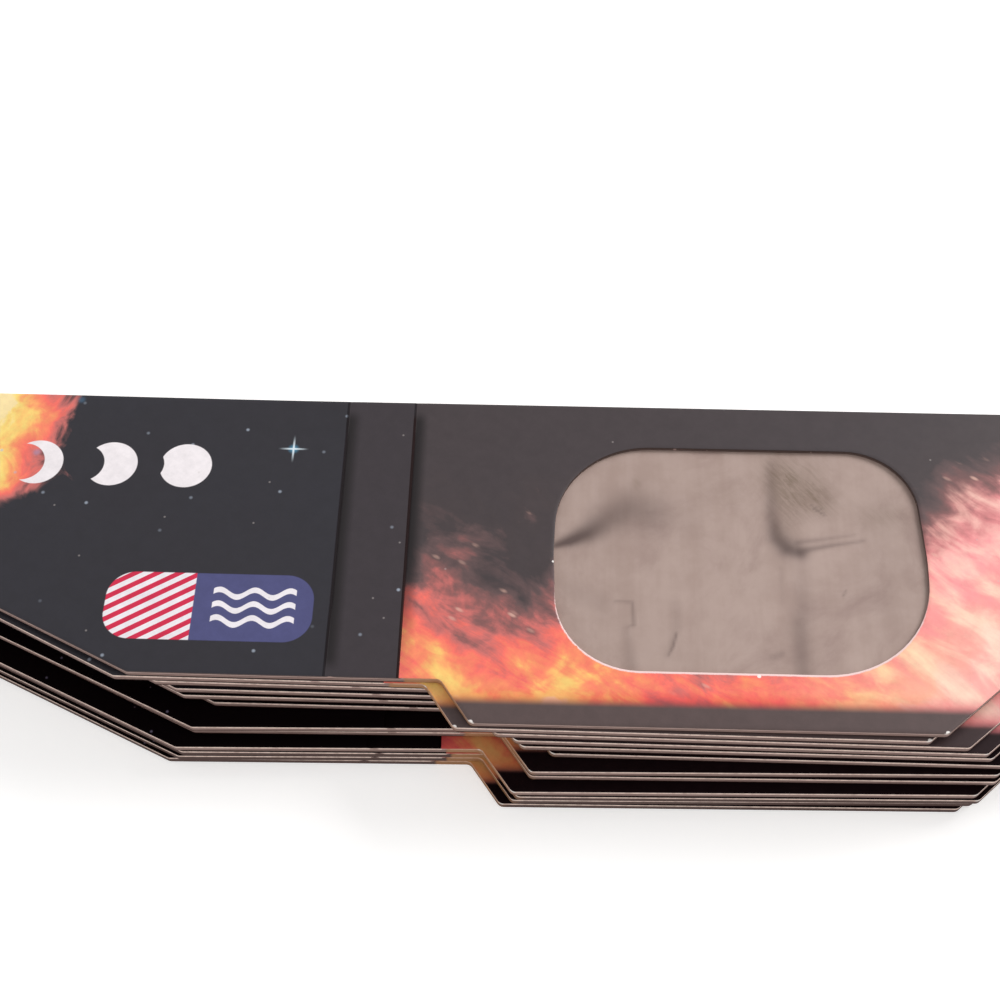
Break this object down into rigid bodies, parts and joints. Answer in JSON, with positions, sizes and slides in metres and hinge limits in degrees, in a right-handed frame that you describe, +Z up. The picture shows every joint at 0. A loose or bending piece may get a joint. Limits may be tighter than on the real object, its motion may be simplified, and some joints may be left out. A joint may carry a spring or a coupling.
{
  "type": "eclipse glasses",
  "caption": "Loosely squared pile of flat folding card spectacles for watching the sun, with silvery film windows, a nose notch and creased arms that taper to ear crooks.",
  "frame": {"origin": "underside of the lowest pair, in the middle of its bridge, halfway up its front panel", "axes": "+X along the glasses to the right arm as seen on the printed face, +Y to the brow edge, +Z up through the pile, out of the printed faces"},
  "size_m": [0.3926, 0.0435, 0.0118],
  "materials": {
    "printed_card": "matt dark print with a warm cloudy band",
    "liner_card": "bare uncoated board",
    "filter_film": "metallised polymer film, satin silver"
  },
  "bodies": {
    "pair_01": {"pair_01_card": "printed_card", "pair_01_liner": "liner_card", "pair_01_left_film": "filter_film", "pair_01_right_film": "filter_film"},
    "pair_02": {"pair_02_card": "printed_card", "pair_02_liner": "liner_card", "pair_02_left_film": "filter_film", "pair_02_right_film": "filter_film"},
    "pair_03": {"pair_03_card": "printed_card", "pair_03_liner": "liner_card", "pair_03_left_film": "filter_film", "pair_03_right_film": "filter_film"},
    "pair_04": {"pair_04_card": "printed_card", "pair_04_liner": "liner_card", "pair_04_left_film": "filter_film", "pair_04_right_film": "filter_film"},
    "pair_05": {"pair_05_card": "printed_card", "pair_05_liner": "liner_card", "pair_05_left_film": "filter_film", "pair_05_right_film": "filter_film"},
    "pair_06": {"pair_06_card": "printed_card", "pair_06_liner": "liner_card", "pair_06_left_film": "filter_film", "pair_06_right_film": "filter_film"},
    "pair_07": {"pair_07_card": "printed_card", "pair_07_liner": "liner_card", "pair_07_left_film": "filter_film", "pair_07_right_film": "filter_film"},
    "pair_08": {"pair_08_card": "printed_card", "pair_08_liner": "liner_card", "pair_08_left_film": "filter_film", "pair_08_right_film": "filter_film"},
    "pair_09": {"pair_09_card": "printed_card", "pair_09_liner": "liner_card", "pair_09_left_film": "filter_film", "pair_09_right_film": "filter_film"},
    "pair_10": {"pair_10_card": "printed_card", "pair_10_liner": "liner_card", "pair_10_left_film": "filter_film", "pair_10_right_film": "filter_film"},
    "pair_11": {"pair_11_card": "printed_card", "pair_11_liner": "liner_card", "pair_11_left_film": "filter_film", "pair_11_right_film": "filter_film"},
    "top_front": {"top_front_card": "printed_card", "top_front_liner": "liner_card", "top_left_film": "filter_film", "top_right_film": "filter_film"},
    "top_left_strip": {"top_left_strip_card": "printed_card", "top_left_strip_liner": "liner_card"},
    "top_left_arm": {"top_left_arm_card": "printed_card", "top_left_arm_liner": "liner_card"},
    "top_right_strip": {"top_right_strip_card": "printed_card", "top_right_strip_liner": "liner_card"},
    "top_right_arm": {"top_right_arm_card": "printed_card", "top_right_arm_liner": "liner_card"}
  },
  "joints": [
    {"name": "pair_02_lift", "type": "slide", "parent": "pair_01", "child": "pair_02", "axis": [0, 0, 1], "range_m": [0, 0.03]},
    {"name": "pair_03_lift", "type": "slide", "parent": "pair_02", "child": "pair_03", "axis": [0, 0, 1], "range_m": [0, 0.03]},
    {"name": "pair_04_lift", "type": "slide", "parent": "pair_03", "child": "pair_04", "axis": [0, 0, 1], "range_m": [0, 0.03]},
    {"name": "pair_05_lift", "type": "slide", "parent": "pair_04", "child": "pair_05", "axis": [0, 0, 1], "range_m": [0, 0.03]},
    {"name": "pair_06_lift", "type": "slide", "parent": "pair_05", "child": "pair_06", "axis": [0, 0, 1], "range_m": [0, 0.03]},
    {"name": "pair_07_lift", "type": "slide", "parent": "pair_06", "child": "pair_07", "axis": [0, 0, 1], "range_m": [0, 0.03]},
    {"name": "pair_08_lift", "type": "slide", "parent": "pair_07", "child": "pair_08", "axis": [0, 0, 1], "range_m": [0, 0.03]},
    {"name": "pair_09_lift", "type": "slide", "parent": "pair_08", "child": "pair_09", "axis": [0, 0, 1], "range_m": [0, 0.03]},
    {"name": "pair_10_lift", "type": "slide", "parent": "pair_09", "child": "pair_10", "axis": [0, 0, 1], "range_m": [0, 0.03]},
    {"name": "pair_11_lift", "type": "slide", "parent": "pair_10", "child": "pair_11", "axis": [0, 0, 1], "range_m": [0, 0.03]},
    {"name": "top_lift", "type": "slide", "parent": "pair_11", "child": "top_front", "axis": [0, 0, 1], "range_m": [0, 0.25]},
    {"name": "left_inner_crease", "type": "hinge", "parent": "top_front", "child": "top_left_strip", "pos_m": [-0.0695, 0.00276, 0.011], "axis": [0, -1, 0], "range_deg": [0, 45]},
    {"name": "left_outer_crease", "type": "hinge", "parent": "top_left_strip", "child": "top_left_arm", "pos_m": [-0.07675, 0.00276, 0.011], "axis": [0, -1, 0], "range_deg": [0, 45]},
    {"name": "right_inner_crease", "type": "hinge", "parent": "top_front", "child": "top_right_strip", "pos_m": [0.0642, 0.00276, 0.011], "axis": [0, 1, 0], "range_deg": [0, 45]},
    {"name": "right_outer_crease", "type": "hinge", "parent": "top_right_strip", "child": "top_right_arm", "pos_m": [0.07145, 0.00276, 0.011], "axis": [0, 1, 0], "range_deg": [0, 45]}
  ],
  "couplings": [
    {"joint": "left_inner_crease", "follows": "top_lift", "rad_per_m": 3.1346},
    {"joint": "left_outer_crease", "follows": "top_lift", "rad_per_m": 3.1346},
    {"joint": "right_inner_crease", "follows": "top_lift", "rad_per_m": 3.1346},
    {"joint": "right_outer_crease", "follows": "top_lift", "rad_per_m": 3.1346}
  ]
}
